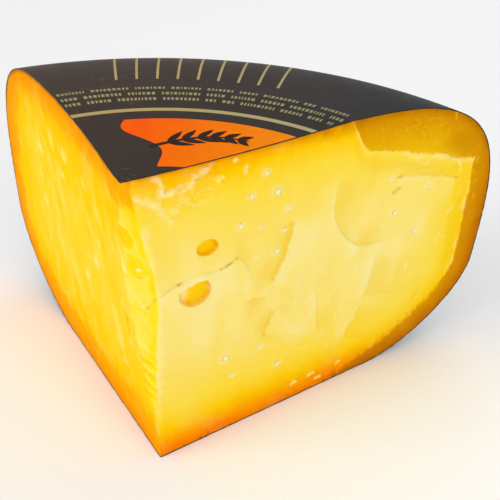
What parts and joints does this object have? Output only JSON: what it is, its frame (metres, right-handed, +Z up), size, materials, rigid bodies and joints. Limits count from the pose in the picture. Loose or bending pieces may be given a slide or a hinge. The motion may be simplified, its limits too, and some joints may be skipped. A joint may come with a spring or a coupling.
{
  "type": "cheese wedge",
  "caption": "Wedge of a big aged wheel of hard yellow cheese with round gas holes, a crumbled front corner and a black coated rind.",
  "frame": {"origin": "middle of the bounding box, on the ground that the wedge stands on", "axes": "+Z up; the front corner, where the two cuts meet, points to -Y and the rind faces +Y; +X is to the right of someone who looks at the corner"},
  "size_m": [0.2142, 0.149, 0.1234],
  "materials": {
    "cheese_paste": "satin",
    "rind_coating": "satin",
    "gold_print": "satin",
    "orange_print": "satin",
    "cheese_crystals": "matte"
  },
  "bodies": {
    "root": {"cheese_wedge": "cheese_paste"}
  },
  "joints": []
}
